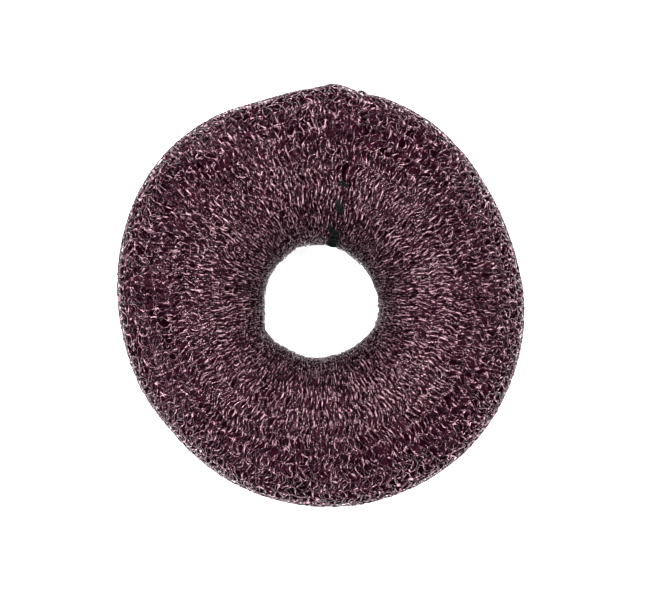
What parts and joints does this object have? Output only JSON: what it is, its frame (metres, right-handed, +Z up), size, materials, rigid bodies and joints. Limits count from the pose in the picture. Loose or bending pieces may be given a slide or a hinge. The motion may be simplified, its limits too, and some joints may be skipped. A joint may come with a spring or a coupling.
{
  "type": "hair donut bun maker",
  "caption": "Springy ring of rolled knitted nylon net, sewn end to end. A ponytail goes through its hole and the hair is spread over it and tucked under to make a bun.",
  "frame": {"origin": "on the axis of the hole, at the surface that the ring lies on", "axes": "+Z up out of the hole, +Y towards the sewn seam, X across"},
  "size_m": [0.0989, 0.1017, 0.0348],
  "materials": {
    "knitted_net": "glossy fine nylon monofilament, openly knitted, plum",
    "sewing_thread": "dark twisted sewing thread, slightly glossy"
  },
  "bodies": {
    "root": {"rolled_net": "knitted_net", "closing_stitch_01": "sewing_thread", "closing_stitch_02": "sewing_thread", "closing_stitch_03": "sewing_thread", "closing_stitch_04": "sewing_thread", "closing_stitch_05": "sewing_thread", "closing_stitch_06": "sewing_thread", "closing_stitch_07": "sewing_thread", "closing_stitch_08": "sewing_thread", "closing_stitch_09": "sewing_thread", "closing_stitch_10": "sewing_thread", "closing_stitch_11": "sewing_thread", "closing_knot": "sewing_thread"}
  },
  "joints": []
}
